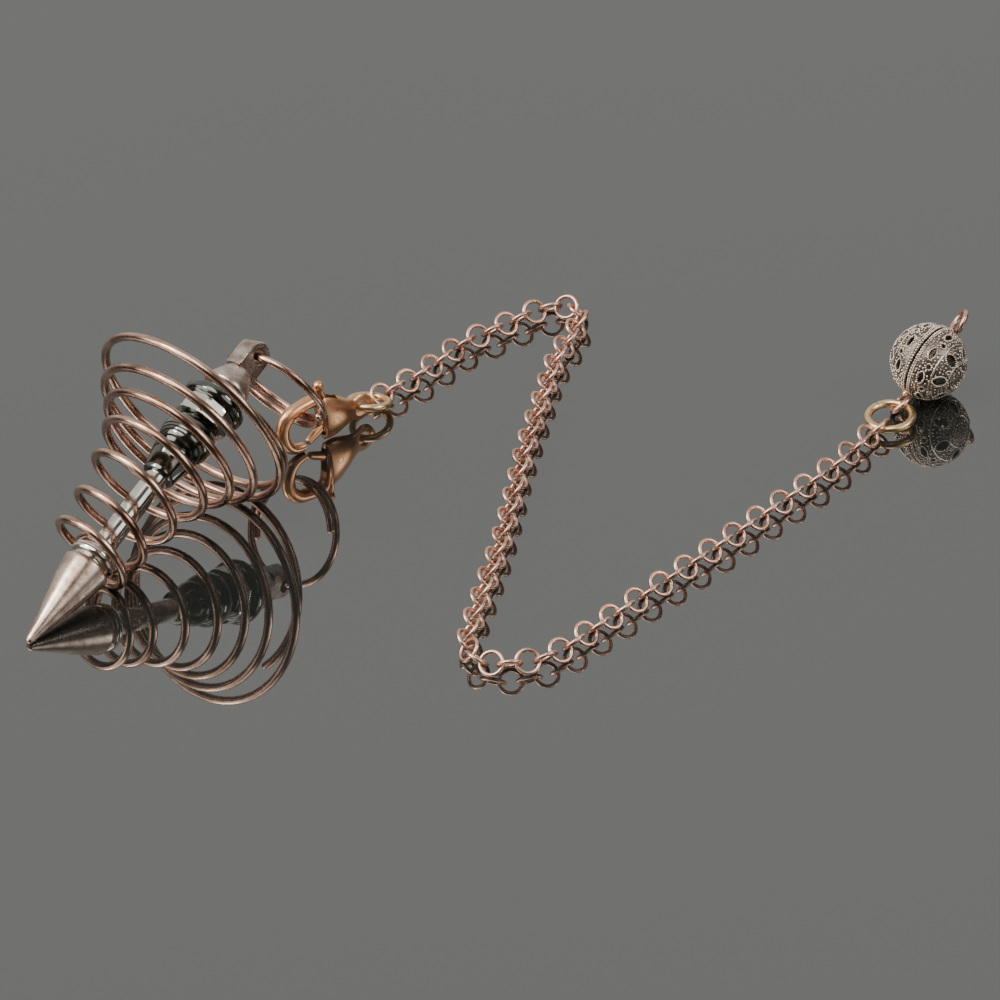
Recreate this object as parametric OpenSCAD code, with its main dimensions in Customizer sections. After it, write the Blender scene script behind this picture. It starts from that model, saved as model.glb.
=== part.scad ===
// Dowsing pendulum with a conical wire coil, on a rolo chain with a filigree ball.
// It lies on a flat surface (z = 0) as its own weight leaves it. Millimetres.

/* [Pendulum] */
// Diameter of the pointed tip at its shoulder
tip_d = 6.3; // [5.8:0.1:6.8]
// Length of the pointed tip
tip_len = 12.8; // [12.4:0.1:13.2]
// Diameter of the centre rod
rod_d = 3; // [2.6:0.1:3.1]
// Diameter of the large polished bead
bead_d = 7; // [6.8:0.1:7.4]
// Width across the corners of the faceted bead
facet_bead_d = 7.3; // [6.6:0.1:7.8]
// Diameter of the disc under the head
disc_d = 8.4; // [7.4:0.1:9]
// Width of the drilled tab of the head
tab_w = 3.8; // [3.6:0.1:4]
// Diameter of the hole in the head
hole_d = 1.9; // [1.8:0.05:2]

/* [Coil] */
// Diameter of the coil's wire
coil_wire_d = 1.12; // [0.9:0.02:1.2]
// Radius of the smallest turn, to the middle of the wire
coil_small_r = 5.3; // [5:0.1:5.8]
// Radius of the widest turn, to the middle of the wire
coil_large_r = 13.9; // [13:0.1:14.5]
// How late the cone flares, as a power
coil_flare = 1.65; // [1.3:0.05:1.9]

/* [Clasp and rings] */
// Diameter of the large jump ring's wire
jump_wire_d = 0.95; // [0.8:0.05:1]
// Thickness of the clasp
clasp_t = 2.6; // [2.5:0.1:3]
// Outer diameter of the ring in the clasp's eye
clasp_ring_d = 5.9; // [5.7:0.1:6.1]
// Outer diameter of the ring at the ball
end_ring_d = 6.6; // [6.4:0.1:6.8]
// Wire diameter of both rings
ring_wire_d = 1; // [0.9:0.05:1]

/* [Chain and ball] */
// Outer diameter of a chain link
link_d = 3.4; // [3.36:0.02:3.44]
// Wire diameter of a chain link
link_wire_d = 0.5; // [0.44:0.02:0.52]
// Diameter of the filigree ball
ball_d = 10; // [9.8:0.1:10.2]
// Wire diameter of the eye pin through the ball
pin_wire_d = 0.7; // [0.6:0.05:0.75]

/* [Hidden] */

smooth = 48;
gap = 0.05;
copper = [0.72, 0.45, 0.36];
dark_steel = [0.25, 0.25, 0.24];
silver = [0.75, 0.72, 0.68];
gold = [0.78, 0.62, 0.38];
bronze = [0.75, 0.48, 0.28];

// Where the middle of the outline lies, which becomes the origin
origin_x = 0.987;
origin_y = 2.406;

// Heights along the rod, from the point of the tip
collar_z = tip_len + gap;
collar_t = 2.3;
cap_z = 27.8;
bead_z = 34.2;
bead_half = 2.5;
facet_z = bead_z + bead_half + gap;
facet_t = 2.5;
disc_z = facet_z + facet_t + gap;
disc_t = 1.6;
neck_z = disc_z + disc_t + gap;
bell_z = neck_z + 1.5;
tab_z = bell_z + 3.3;
hole_z = tab_z + 2.95;
tab_t = 2.6;
head_turn = 80;
rod_low = 8.5;
rod_high = bell_z + 1;
nose_r = 0.5;
bore_r = rod_d / 2 + gap;

// How the pendulum lies: where its point rests, and the heading of its rod
tip_x = -58.4;
tip_y = -22.3;
heading = 49.6;

// The coil counts its turns from the top of the first one
last_turn = 6;
turn_start = -0.95;
turn_end = 6.86;
coil_low = 15;
coil_seat_z = collar_z + collar_t + coil_wire_d / 2 + gap;
coil_seat_r = bore_r + coil_wire_d / 2 + 0.2;
coil_length = 22.7;
coil_bulge = 0.13;
coil_close = 6.4;
coil_settle = 3.9;
coil_side = 0.95;
coil_rings = 20;
wire_sides = 8;

// Distance of the coil's wire from the rod's axis at turn n
function coil_open_r(n) =
    coil_small_r + (coil_large_r - coil_small_r) * pow(min(max(n, 0) / last_turn, 1), coil_flare);
function coil_tail_r(over) =
    (coil_large_r - coil_small_r) * coil_flare / last_turn * over - coil_close * over * over;
function coil_lead(n) = let (in = min(max((-0.35 - n) / 0.6, 0), 1)) in * in * (3 - 2 * in);
function coil_r(n) =
    let (open = coil_open_r(n) + coil_tail_r(max(n - last_turn, 0)))
    open + (coil_seat_r - open) * coil_lead(n);
// Height of the coil's wire along the rod at turn n
function coil_z(n) =
    let (share = min(max(n, -0.3), last_turn) / last_turn, over = max(n - last_turn, 0),
         open = coil_low + coil_length * (share + coil_bulge * (1 - cos(360 * share)) / 2)
                + coil_length / last_turn * over - coil_settle * over * over)
    open + (coil_seat_z - open) * coil_lead(n);
// A point of the coil in the pendulum's own frame, where +X is down and -Y is to the right
function coil_point(n) =
    let (turn = 360 * (n + 0.25), r = coil_r(n))
    [-r * sin(turn), -r * cos(turn) + coil_side * (1 - coil_lead(n)), coil_z(n)];

// The rod's tilt, at which the nose and the lowest turn both touch the surface
function rest_tilt(p) =
    let (rise = p[2] - nose_r)
    atan2(p[0], rise) + asin((coil_wire_d / 2 - nose_r) / norm([rise, p[0]]));
tilt = max([for (step = [0:turn_end * coil_rings]) rest_tilt(coil_point(step / coil_rings))]);

// From the pendulum's own frame to the surface
function lay(p) =
    let (q = [p[0] * sin(tilt) + (p[2] - nose_r) * cos(tilt), p[1],
              -p[0] * cos(tilt) + (p[2] - nose_r) * sin(tilt)])
    [tip_x + q[0] * cos(heading) - q[1] * sin(heading),
     tip_y + q[0] * sin(heading) + q[1] * cos(heading), nose_r + q[2]];

// The clasp stands on edge: its own frame has d along it and h up
clasp_x = -25;
clasp_y = 15;
clasp_turn = 37;
pivot = [5.8, 3];
hook_seat = [1.3, 4.8];
eye = [10.4, 2.35];
eye_bore_r = 1.05;
lever_t = 1;
slot_t = 1.2;
lever_pin_d = 0.7;
// Sections of the body and then of the hook, from the eye to the hook's tip:
// d, middle h, half height, half thickness, heading
clasp_line = [[12.3, 2.3, 0.5, 0.3, 180], [11.95, 2.3, 1.1, 0.42, 180], [11.3, 2.3, 1.65, 0.48, 180],
              [10.4, 2.32, 1.85, 0.5, 180], [9.5, 2.45, 1.6, 0.6, 180], [8.6, 2.7, 1.75, 0.85, 180],
              [7.4, 3, 2.35, 1.17, 180],
              [6, 3.3, 3.05, 1.3, 180], [4.7, 3.6, 3.3, 1.24, 180], [4.3, 3.75, 3.1, 1, 180],
              [3.85, 5.8, 1.5, 0.97, 180], [3.2, 6.5, 0.87, 0.95, 180], [1.2, 6.45, 0.85, 0.9, 184],
              [-0.55, 6, 0.95, 0.9, 217], [-1.65, 4.75, 0.93, 0.88, 254], [-1.75, 3, 0.88, 0.85, 284],
              [-1, 1.5, 0.78, 0.78, 312], [0.05, 0.85, 0.68, 0.7, 339], [1.15, 0.7, 0.58, 0.6, 358]];
hook_row = 11;

function clasp_point(p) =
    [clasp_x + p[0] * cos(clasp_turn), clasp_y + p[0] * sin(clasp_turn), p[1]];

// The large ring hangs from the hole of the head to the seat of the hook
hole_at = lay([0, 0, hole_z]);
seat_at = clasp_point(hook_seat);
jump_r = norm(hole_at - seat_at) / 2;
jump_axis = (hole_at - seat_at) / (2 * jump_r);
// Its plane lies between the axis of that hole and the clasp's own across direction
jump_side = unit([sin(clasp_turn), -cos(clasp_turn), 0]
    + hole_at - lay([cos(head_turn), sin(head_turn), hole_z]));

// The ring in the clasp's eye leans from the eye down onto the first link
clasp_ring_r = (clasp_ring_d - ring_wire_d) / 2;
clasp_ring_heading = 58;
rest_z = 1.1;
clasp_ring_lean = asin((eye[1] - rest_z) / (2 * clasp_ring_r));
clasp_ring_at = clasp_point(eye)
    + clasp_ring_r * [cos(clasp_ring_lean) * cos(clasp_ring_heading),
                      cos(clasp_ring_lean) * sin(clasp_ring_heading), -sin(clasp_ring_lean)];

// The ball rests on the surface, and its pin leans until the near eye rests there too
ball_x = 55.3;
ball_y = 15.1;
pin_heading = 40;
pin_lean = 31.5;
pin_roll = 45;
seam_roll = 106;
// How far the end ring has slid in the near eye, away from the ball
eye_slack = 0.2;
eye_loop_r = 1.35;
eye_reach = ball_d / 2 + eye_loop_r + 0.25;
near_eye_at = [ball_x, ball_y, ball_d / 2]
    - eye_reach * [cos(pin_lean) * cos(pin_heading), cos(pin_lean) * sin(pin_heading), sin(pin_lean)];

// The end ring lies in the near eye and on the last link
end_ring_r = (end_ring_d - ring_wire_d) / 2;
end_ring_turn = 65;
end_ring_lean = 4;
end_ring_z = 1.35;
end_ring_x = near_eye_at[0] - eye_slack * cos(pin_lean) * cos(pin_heading) - end_ring_r * cos(end_ring_turn);
end_ring_y = near_eye_at[1] - eye_slack * cos(pin_lean) * sin(pin_heading) - end_ring_r * sin(end_ring_turn);
end_link_turn = 230;

// The chain's route over the surface, from the clasp's ring to the end ring
link_r = (link_d - link_wire_d) / 2;
link_pitch = 2.24;
link_roll = 45;
link_z = link_r * sin(link_roll) + link_wire_d / 2;
clasp_ring_hold = 0.82;
end_ring_hold = 1;
chain_start = clasp_ring_at + (clasp_ring_r - clasp_ring_hold)
    * [cos(clasp_ring_lean) * cos(clasp_ring_heading), cos(clasp_ring_lean) * sin(clasp_ring_heading), 0];
chain_end = [end_ring_x, end_ring_y, 0]
    + (end_ring_r - end_ring_hold) * [cos(end_link_turn), sin(end_link_turn), 0];
route = [[chain_start[0], chain_start[1]], [-12.6, 26.4], [-8.2, 30], [-3, 36], [1.5, 39], [6, 42],
         [9, 43.2], [11.6, 42.6], [12.6, 40], [11.2, 35.5], [8.8, 30], [6.2, 19.5], [3.6, 8.7], [1.6, -1.7],
         [-0.5, -12], [-2.8, -21], [-4.9, -29.7], [-5.6, -34], [-3.6, -37.6], [0.4, -38.3], [4.8, -37],
         [10.5, -31.7], [17.5, -25], [25, -17.8], [34, -8.9], [41.9, -1],
         [chain_end[0], chain_end[1]]];
route_steps = 8;

// A smooth curve through the points of a list, at position u counted in points
function at(list, i) = list[min(max(i, 0), len(list) - 1)];
function curve(list, u) =
    let (i = min(floor(u), len(list) - 2), t = u - i,
         a = at(list, i - 1), b = at(list, i), c = at(list, i + 1), d = at(list, i + 2))
    b + t * (c - a) / 2 + t * t * (2 * a - 5 * b + 4 * c - d) / 2
    + t * t * t * (3 * b - a - 3 * c + d) / 2;
route_fine = [for (step = [0:(len(route) - 1) * route_steps]) curve(route, step / route_steps)];
function run_length(list, i) = i == 0 ? 0 : run_length(list, i - 1) + norm(list[i] - list[i - 1]);
route_runs = [for (i = [0:len(route_fine) - 1]) run_length(route_fine, i)];
route_length = route_runs[len(route_runs) - 1];
route_x = [for (i = [0:len(route_fine) - 1]) [route_runs[i], route_fine[i][0]]];
route_y = [for (i = [0:len(route_fine) - 1]) [route_runs[i], route_fine[i][1]]];
function route_at(run) = [lookup(run, route_x), lookup(run, route_y)];
links = round(route_length / link_pitch);
link_step = route_length / links;

// A closed tube whose rings are lists of points, all of the same number
module tube(rings) {
    sides = len(rings[0]);
    last = len(rings) - 1;
    walls = [for (i = [0:last - 1], k = [0:sides - 1])
             let (a = i * sides + k, b = i * sides + (k + 1) % sides)
             each [[a, b + sides, b], [a, a + sides, b + sides]]];
    ends = [[for (k = [0:sides - 1]) k], [for (k = [sides - 1:-1:0]) last * sides + k]];
    polyhedron(points = [for (ring = rings) each ring], faces = concat(walls, ends));
}

function unit(v) = v / norm(v);
// A ring of points round a centre, across a direction, with its first axis towards side
function wire_ring(centre, along, side, r, sides) =
    let (a = unit(side - along * (side * along)), b = cross(along, a))
    [for (k = [0:sides - 1]) centre + r * (cos(360 * k / sides) * a + sin(360 * k / sides) * b)];

module torus(r, wire_d) {
    rotate_extrude($fn = smooth) translate([r, 0]) circle(d = wire_d, $fn = 24);
}

// Moves the origin to the middle of the outline
module placed() {
    translate([-origin_x, -origin_y, 0]) children();
}

// Lays a piece of the pendulum, modelled upright on its point, on the surface
module laid() {
    placed()
    translate([tip_x, tip_y, nose_r])
    rotate([0, 90 - tilt, heading])
    translate([0, 0, -nose_r])
    children();
}

// Stands a piece of the clasp, modelled flat with d along X and h along Y, on its edge
module on_edge() {
    placed() translate([clasp_x, clasp_y, 0]) rotate([90, 0, clasp_turn]) children();
}

module turned(profile) {
    rotate_extrude($fn = smooth) polygon(profile);
}

module bored(low, high) {
    difference() {
        children();
        translate([0, 0, low]) cylinder(r = bore_r, h = high - low, $fn = smooth);
    }
}

module tip() {
    r = tip_d / 2;
    color(silver) laid() bored(rod_low - 0.3, tip_len + 1)
    union() {
        translate([0, 0, nose_r]) sphere(r = nose_r, $fn = smooth);
        turned([[0, 0.4], [0.48, 0.4], [r * 0.42, tip_len * 0.31], [r * 0.72, tip_len * 0.6],
                [r * 0.93, tip_len * 0.85], [r, tip_len * 0.95], [r * 0.95, tip_len * 0.985],
                [r * 0.86, tip_len], [0, tip_len]]);
    }
}

module collar() {
    r = tip_d / 2;
    color(silver) laid() translate([0, 0, collar_z]) bored(-1, collar_t + 1)
    turned([[0, 0], [r * 0.8, 0], [r * 0.8, 0.5], [r * 0.92, 0.6], [r * 0.98, 0.9],
            [r * 0.96, 1.5], [r * 0.82, 1.9], [r * 0.66, 2], [r * 0.64, collar_t], [0, collar_t]]);
}

module rod() {
    color(silver) laid() translate([0, 0, rod_low]) cylinder(d = rod_d, h = rod_high - rod_low, $fn = smooth);
}

module bead_cap() {
    top = bead_z - bead_half - gap - cap_z;
    color(dark_steel) laid() translate([0, 0, cap_z]) bored(-1, top + 1)
    turned([[0, 0], [2, 0], [2.2, 0.25], [2.35, top * 0.3], [2.75, top * 0.7], [2.9, top * 0.93],
            [2.7, top], [0, top]]);
}

module large_bead() {
    color(dark_steel) laid() translate([0, 0, bead_z]) bored(-bead_d, bead_d)
    intersection() {
        sphere(d = bead_d, $fn = smooth);
        translate([0, 0, -bead_half]) cylinder(d = bead_d + 1, h = 2 * bead_half, $fn = smooth);
    }
}

module facet_bead() {
    color(silver) laid() translate([0, 0, facet_z]) rotate([0, 0, 22.5]) bored(-1, facet_t + 1)
    intersection() {
        cylinder(d = facet_bead_d, h = facet_t, $fn = 8);
        translate([0, 0, facet_t / 2]) sphere(d = facet_bead_d * 1.02, $fn = smooth);
    }
}

module disc() {
    r = disc_d / 2;
    color(dark_steel) laid() translate([0, 0, disc_z]) bored(-1, disc_t + 1)
    turned([[0, 0], [r * 0.85, 0], [r * 0.96, 0.2], [r, 0.55], [r, disc_t - 0.55], [r * 0.96, disc_t - 0.2],
            [r * 0.85, disc_t], [0, disc_t]]);
}

module head() {
    color(silver) laid()
    difference() {
        union() {
            translate([0, 0, neck_z]) cylinder(r = 2.1, h = bell_z - neck_z + 0.2, $fn = smooth);
            translate([0, 0, bell_z])
            turned([[0, 0], [2.9, 0], [3.15, 0.2], [3.1, 0.6], [2.6, 1.7], [2, 2.8], [1.75, 3.4], [0, 3.4]]);
            rotate([0, 0, head_turn])
            intersection() {
                translate([-tab_t / 2, -tab_w / 2, tab_z]) cube([tab_t, tab_w, hole_z - tab_z + tab_w / 2]);
                union() {
                    translate([-tab_w, 0, hole_z]) rotate([0, 90, 0])
                    cylinder(d = tab_w, h = 2 * tab_w, $fn = smooth);
                    translate([-tab_w, -tab_w / 2, tab_z]) cube([2 * tab_w, tab_w, hole_z - tab_z]);
                }
            }
        }
        translate([0, 0, neck_z - 1]) cylinder(r = bore_r, h = rod_high - neck_z + 1.2, $fn = smooth);
        translate([0, 0, hole_z]) rotate([0, 90, head_turn])
        translate([0, 0, -tab_w]) cylinder(d = hole_d, h = 2 * tab_w, $fn = smooth);
    }
}

module coil() {
    steps = ceil((turn_end - turn_start) * coil_rings);
    turns = [for (i = [0:steps]) turn_start + (turn_end - turn_start) * i / steps];
    color(copper) laid()
    tube([for (n = turns)
          wire_ring(coil_point(n), unit(coil_point(n + 0.01) - coil_point(n - 0.01)), [0, 0, 1],
                    coil_wire_d / 2, wire_sides)]);
}

// The ring's wire goes round one and a half times: from the front arc through the hook, up
// behind, through the hole, down the front and through the hook again
module jump_ring() {
    steps = 68;
    start = -245;
    finish = 298;
    // The two strands cross over from one side to the other around the hole
    crossing = 60;
    apart = (jump_wire_d + 0.12) / 2;
    across = unit(cross(jump_axis, jump_side));
    side = cross(across, jump_axis);
    middle = (hole_at + seat_at) / 2;
    turns = [for (i = [0:steps]) start + (finish - start) * i / steps];
    function slip(turn) = apart * sin(90 * min(max(turn / crossing, -1), 1));
    function ring_point(turn) =
        middle + jump_r * (cos(turn) * jump_axis + sin(turn) * side) + slip(turn) * across;
    color(copper) placed()
    tube([for (turn = turns)
          wire_ring(ring_point(turn), unit(ring_point(turn + 1) - ring_point(turn - 1)), across,
                    jump_wire_d / 2, wire_sides)]);
}

// Body and hook as one tube through the sections, with the hook's bend rounded between them
module clasp_shell() {
    sides = 12;
    last = len(clasp_line) - 1;
    rows = concat([for (i = [0:hook_row]) clasp_line[i]],
                  [for (i = [1:2 * (last - hook_row)]) curve(clasp_line, hook_row + i / 2)]);
    tube([for (p = rows)
          [for (k = [0:sides - 1])
           let (turn = 360 * (k + 0.5) / sides, w = p[2] * cos(turn))
           [p[0] - sin(p[4]) * w, p[1] + cos(p[4]) * w, p[3] * sin(turn)]]]);
}

module clasp_body() {
    slot = [[3, 0.9], [4.6, 1.1], [6.2, 1.9], [6.75, 3.1], [6.85, 8.5], [3.6, 8.5], [4.85, 4.3], [3, 4.3]];
    color(bronze) on_edge()
    difference() {
        clasp_shell();
        translate([eye[0], eye[1], -clasp_t]) cylinder(r = eye_bore_r, h = 2 * clasp_t, $fn = smooth);
        translate([0, 0, -slot_t / 2]) linear_extrude(slot_t) polygon(slot);
        translate([pivot[0], pivot[1], -clasp_t]) cylinder(d = lever_pin_d + 2 * gap, h = 2 * clasp_t, $fn = smooth);
    }
}

module clasp_pin() {
    color(bronze) on_edge() translate([pivot[0], pivot[1], -clasp_t / 2])
    cylinder(d = lever_pin_d, h = clasp_t, $fn = smooth);
}

// The gate, its hub on the pin and the nub that the thumb pulls
module clasp_lever() {
    gate = [[1.62, 0.35], [4.4, 1.5], [6.1, 2.3], [5.5, 3.7], [4, 2.75], [1.62, 1.4]];
    stem = [[5.2, 2.9], [6.4, 3.1], [4.85, 8], [4, 8]];
    color(bronze) on_edge()
    difference() {
        union() {
            translate([0, 0, -lever_t / 2]) linear_extrude(lever_t) union() {
                polygon(gate);
                polygon(stem);
                translate(pivot) circle(r = 0.78, $fn = smooth);
            }
            translate([4.4, 8.2, 0]) sphere(r = 0.72, $fn = smooth);
        }
        translate([pivot[0], pivot[1], -clasp_t]) cylinder(d = lever_pin_d + 2 * gap, h = 2 * clasp_t, $fn = smooth);
    }
}

module clasp_ring() {
    color(gold) placed() translate(clasp_ring_at) rotate([0, clasp_ring_lean, clasp_ring_heading])
    torus(clasp_ring_r, ring_wire_d);
}

// Round links rest on their edges, rolled to one side and the other in turn
module chain() {
    color(copper) placed()
    for (i = [0:links - 1]) {
        from = route_at(i * link_step);
        to = route_at((i + 1) * link_step);
        middle = (from + to) / 2;
        translate([middle[0], middle[1], link_z])
        rotate([i % 2 == 0 ? link_roll : -link_roll, 0, atan2(to[1] - from[1], to[0] - from[0])])
        rotate_extrude($fn = 10) translate([link_r, 0]) circle(d = link_wire_d, $fn = 5);
    }
}

module end_ring() {
    color(gold) placed() translate([end_ring_x, end_ring_y, end_ring_z]) rotate([end_ring_lean, 0, 0])
    torus(end_ring_r, ring_wire_d);
}

// Puts a piece of the ball, modelled round the origin with the pin along Z, in its place
module on_ball() {
    placed() translate([ball_x, ball_y, ball_d / 2]) rotate([0, 90 - pin_lean, pin_heading])
    rotate([0, 0, pin_roll]) children();
}

module eye_pin() {
    color(copper) on_ball() {
        translate([0, 0, -eye_reach + eye_loop_r]) cylinder(d = pin_wire_d, h = 2 * (eye_reach - eye_loop_r), $fn = 24);
        for (end = [-1, 1]) translate([0, 0, end * eye_reach]) rotate([90, 0, 0]) torus(eye_loop_r, pin_wire_d);
    }
}

// A pierced shell of flat facets; resize() only keeps its outer size to the ball's diameter
module filigree_ball() {
    shell_r = ball_d / 2;
    shell_t = 0.55;
    facets_inside = 0.987;
    // Rings of piercings on each half: angle from the pole, how many, diameter
    piercings = [[21, 4, 1.5], [46, 8, 1.7], [70, 10, 1.3]];
    color(silver) on_ball() rotate([0, 0, seam_roll - pin_roll])
    resize([1, 1, 1] * ball_d * facets_inside)
    difference() {
        sphere(r = shell_r, $fn = 20);
        sphere(r = shell_r - shell_t, $fn = 20);
        rotate([0, 0, 7]) cylinder(d = pin_wire_d + 0.5, h = ball_d + 1, center = true, $fn = 8);
        for (side = [0, 180], ring = piercings, k = [0:ring[1] - 1])
            rotate([360 * k / ring[1], 0, 0]) rotate([0, 90 + side, 0]) rotate([0, ring[0], 0])
            translate([0, 0, ball_d / 4]) cylinder(d = ring[2], h = ball_d / 2, $fn = 6);
    }
}

tip();
collar();
rod();
bead_cap();
large_bead();
facet_bead();
disc();
head();
coil();
jump_ring();
clasp_body();
clasp_pin();
clasp_lever();
clasp_ring();
chain();
end_ring();
eye_pin();
filigree_ball();
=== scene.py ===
"""The looks of the pendulum pendant: its pieces, their metals, the floor, the light and the camera."""
import math
import random

import bmesh
import bpy
from mathutils import Matrix, Vector


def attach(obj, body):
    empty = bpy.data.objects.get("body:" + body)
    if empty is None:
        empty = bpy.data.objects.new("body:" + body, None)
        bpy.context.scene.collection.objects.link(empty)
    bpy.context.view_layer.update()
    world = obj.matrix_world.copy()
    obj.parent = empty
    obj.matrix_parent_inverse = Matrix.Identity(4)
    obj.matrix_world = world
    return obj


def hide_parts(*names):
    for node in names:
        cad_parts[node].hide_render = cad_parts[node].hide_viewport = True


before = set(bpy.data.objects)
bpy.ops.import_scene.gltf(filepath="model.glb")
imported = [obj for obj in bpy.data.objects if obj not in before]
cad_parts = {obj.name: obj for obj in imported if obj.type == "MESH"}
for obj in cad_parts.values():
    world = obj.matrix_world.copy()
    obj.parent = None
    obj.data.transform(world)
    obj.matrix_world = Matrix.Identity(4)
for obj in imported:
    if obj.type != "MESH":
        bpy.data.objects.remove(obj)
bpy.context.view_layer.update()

ROOT_BODY = "pendant"
LEVER_BODY = "lever"
MM = 0.001
random.seed(4)

# Sizes in millimetres, as in the part's source, but for a link's wire, which is round here and a touch thicker
ORIGIN = (0.987, 2.406)
TIP_D, TIP_LEN, ROD_D = 6.3, 12.8, 3.0
BEAD_D, FACET_D, DISC_D = 7.0, 7.3, 8.4
TAB_W, TAB_T, HOLE_D = 3.8, 2.6, 1.9
GAP = 0.05
NOSE_R = 0.5
BORE_R = ROD_D / 2 + GAP
ROD_LOW = 8.5
COLLAR_Z, COLLAR_T = TIP_LEN + GAP, 2.3
CAP_Z, BEAD_Z, BEAD_HALF = 27.8, 34.2, 2.5
FACET_Z, FACET_T = BEAD_Z + BEAD_HALF + GAP, 2.5
DISC_Z, DISC_T = FACET_Z + FACET_T + GAP, 1.6
NECK_Z = DISC_Z + DISC_T + GAP
BELL_Z = NECK_Z + 1.5
TAB_Z = BELL_Z + 3.3
HOLE_Z = TAB_Z + 2.95
HEAD_TURN = 80
TIP_AT = (-58.4, -22.3)
HEADING = 49.6

COIL_WIRE_D, COIL_SMALL_R, COIL_LARGE_R, COIL_FLARE = 1.12, 5.3, 13.9, 1.65
LAST_TURN, TURN_START, TURN_END = 6, -0.95, 6.86
COIL_LOW, COIL_LENGTH, COIL_BULGE = 15, 22.7, 0.13
COIL_CLOSE, COIL_SETTLE, COIL_SIDE, COIL_RINGS = 6.4, 3.9, 0.95, 20
COIL_SEAT_Z = COLLAR_Z + COLLAR_T + COIL_WIRE_D / 2 + GAP
COIL_SEAT_R = BORE_R + COIL_WIRE_D / 2 + 0.2

CLASP_AT, CLASP_TURN = (-25, 15), 37
PIVOT, HOOK_SEAT, EYE = (5.8, 3), (1.3, 4.8), (10.4, 2.35)
JUMP_WIRE_D, CLASP_T, EYE_BORE_R = 0.95, 2.6, 1.05
SLOT_T, LEVER_PIN_D = 1.2, 0.7
RING_WIRE_D, CLASP_RING_D, END_RING_D = 1.0, 5.9, 6.6
CLASP_RING_HEADING, RING_REST_Z = 58, 1.1
END_RING_TURN, END_RING_LEAN, END_RING_Z, END_LINK_TURN = 65, 4, 1.35, 230
CLASP_RING_HOLD, END_RING_HOLD, EYE_SLACK = 0.82, 1.0, 0.2

BALL_AT, BALL_D = (55.3, 15.1), 10.0
PIN_HEADING, PIN_LEAN, PIN_ROLL, PIN_WIRE_D, EYE_LOOP_R = 40, 31.5, 45, 0.7, 1.35
EYE_REACH = BALL_D / 2 + EYE_LOOP_R + 0.25
SEAM_ROLL = 106

LINK_D, LINK_WIRE_D, LINK_PITCH, LINK_ROLL = 3.4, 0.52, 2.24, 45
ROUTE_STEPS = 8


def rad(degrees):
    return math.radians(degrees)


def sin(degrees):
    return math.sin(rad(degrees))


def cos(degrees):
    return math.cos(rad(degrees))


def spline(points, u):
    """A smooth curve through the points of a list, at position u counted in points."""
    last = len(points) - 1
    i = min(int(math.floor(u)), last - 1)
    t = u - i
    a, b, c, d = (Vector(points[min(max(k, 0), last)]) for k in (i - 1, i, i + 1, i + 2))
    return (b + t * (c - a) / 2 + t * t * (2 * a - 5 * b + 4 * c - d) / 2
            + t ** 3 * (3 * b - a - 3 * c + d) / 2)


def resampled(points, steps):
    return [spline(points, i / steps) for i in range((len(points) - 1) * steps + 1)]


# Where things lie

def coil_lead(n):
    share = min(max((-0.35 - n) / 0.6, 0), 1)
    return share * share * (3 - 2 * share)


def coil_r(n):
    flare = COIL_LARGE_R - COIL_SMALL_R
    over = max(n - LAST_TURN, 0)
    r = COIL_SMALL_R + flare * min(max(n, 0) / LAST_TURN, 1) ** COIL_FLARE
    r += flare * COIL_FLARE / LAST_TURN * over - COIL_CLOSE * over * over
    return r + (COIL_SEAT_R - r) * coil_lead(n)


def coil_z(n):
    share = min(max(n, -0.3), LAST_TURN) / LAST_TURN
    over = max(n - LAST_TURN, 0)
    z = (COIL_LOW + COIL_LENGTH * (share + COIL_BULGE * (1 - cos(360 * share)) / 2)
         + COIL_LENGTH / LAST_TURN * over - COIL_SETTLE * over * over)
    return z + (COIL_SEAT_Z - z) * coil_lead(n)


def coil_point(n):
    turn = 360 * (n + 0.25)
    r = coil_r(n)
    return Vector((-r * sin(turn), -r * cos(turn) + COIL_SIDE * (1 - coil_lead(n)), coil_z(n)))


def rest_tilt(p):
    rise = p.z - NOSE_R
    return math.degrees(math.atan2(p.x, rise)
                        + math.asin((COIL_WIRE_D / 2 - NOSE_R) / math.hypot(rise, p.x)))


TILT = max(rest_tilt(coil_point(step / COIL_RINGS)) for step in range(int(TURN_END * COIL_RINGS) + 1))


def turn_matrix(degrees, axis):
    return Matrix.Rotation(rad(degrees), 4, axis)


PLACED = Matrix.Translation((-ORIGIN[0], -ORIGIN[1], 0))
LAID = (PLACED @ Matrix.Translation((TIP_AT[0], TIP_AT[1], NOSE_R)) @ turn_matrix(HEADING, "Z")
        @ turn_matrix(90 - TILT, "Y") @ Matrix.Translation((0, 0, -NOSE_R)))
ON_EDGE = (PLACED @ Matrix.Translation((CLASP_AT[0], CLASP_AT[1], 0)) @ turn_matrix(CLASP_TURN, "Z")
           @ turn_matrix(90, "X"))
ON_BALL = (PLACED @ Matrix.Translation((BALL_AT[0], BALL_AT[1], BALL_D / 2)) @ turn_matrix(PIN_HEADING, "Z")
           @ turn_matrix(90 - PIN_LEAN, "Y") @ turn_matrix(PIN_ROLL, "Z"))
ON_SEAM = ON_BALL @ turn_matrix(SEAM_ROLL - PIN_ROLL, "Z")

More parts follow.
